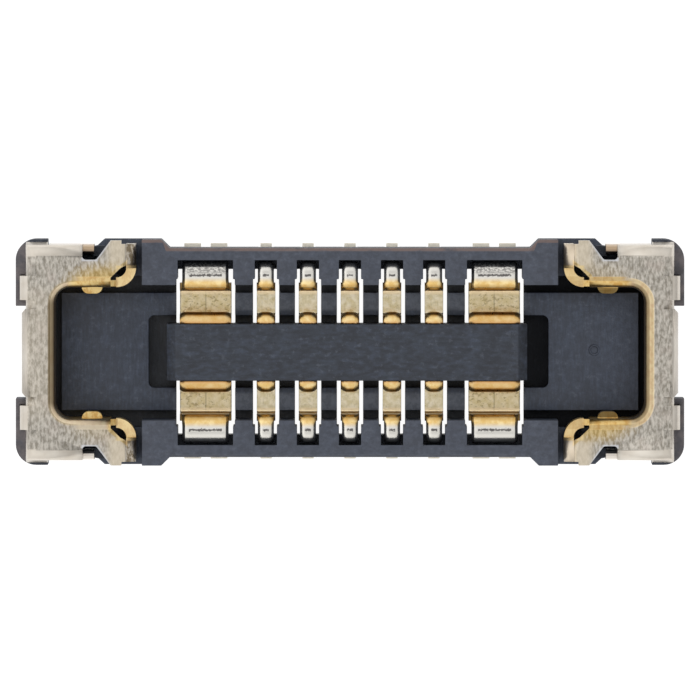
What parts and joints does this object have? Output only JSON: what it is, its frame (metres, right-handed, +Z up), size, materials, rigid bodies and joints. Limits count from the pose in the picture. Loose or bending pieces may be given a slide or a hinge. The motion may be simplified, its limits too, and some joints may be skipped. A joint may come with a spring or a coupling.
{
  "type": "board-to-board receptacle connector",
  "caption": "Low-profile board-to-board receptacle: black moulded housing with a centre island, two rows of sprung contacts, wide power contacts and a stamped metal shell at each end.",
  "frame": {"origin": "on the board surface, under the middle of the connector", "axes": "+X along the length towards the right end shell, +Y across towards the rear contact row, +Z up from the board into the mating side"},
  "size_m": [0.0056, 0.0018, 0.0006],
  "materials": {
    "housing_plastic": "fine matte moulded liquid-crystal polymer",
    "contact_strip": "copper alloy strip, nickel flash with gold on the contact faces",
    "shell_metal": "rolled copper alloy sheet, pale plating with gold at the spring edges"
  },
  "bodies": {
    "root": {"housing": "housing_plastic", "signal_contact_front_1": "contact_strip", "signal_contact_front_2": "contact_strip", "signal_contact_front_3": "contact_strip", "signal_contact_front_4": "contact_strip", "signal_contact_front_5": "contact_strip", "signal_contact_rear_1": "contact_strip", "signal_contact_rear_2": "contact_strip", "signal_contact_rear_3": "contact_strip", "signal_contact_rear_4": "contact_strip", "signal_contact_rear_5": "contact_strip", "power_contact_front_left": "contact_strip", "power_contact_front_right": "contact_strip", "power_contact_rear_left": "contact_strip", "power_contact_rear_right": "contact_strip", "end_shell_left": "shell_metal", "end_shell_right": "shell_metal"}
  },
  "joints": []
}
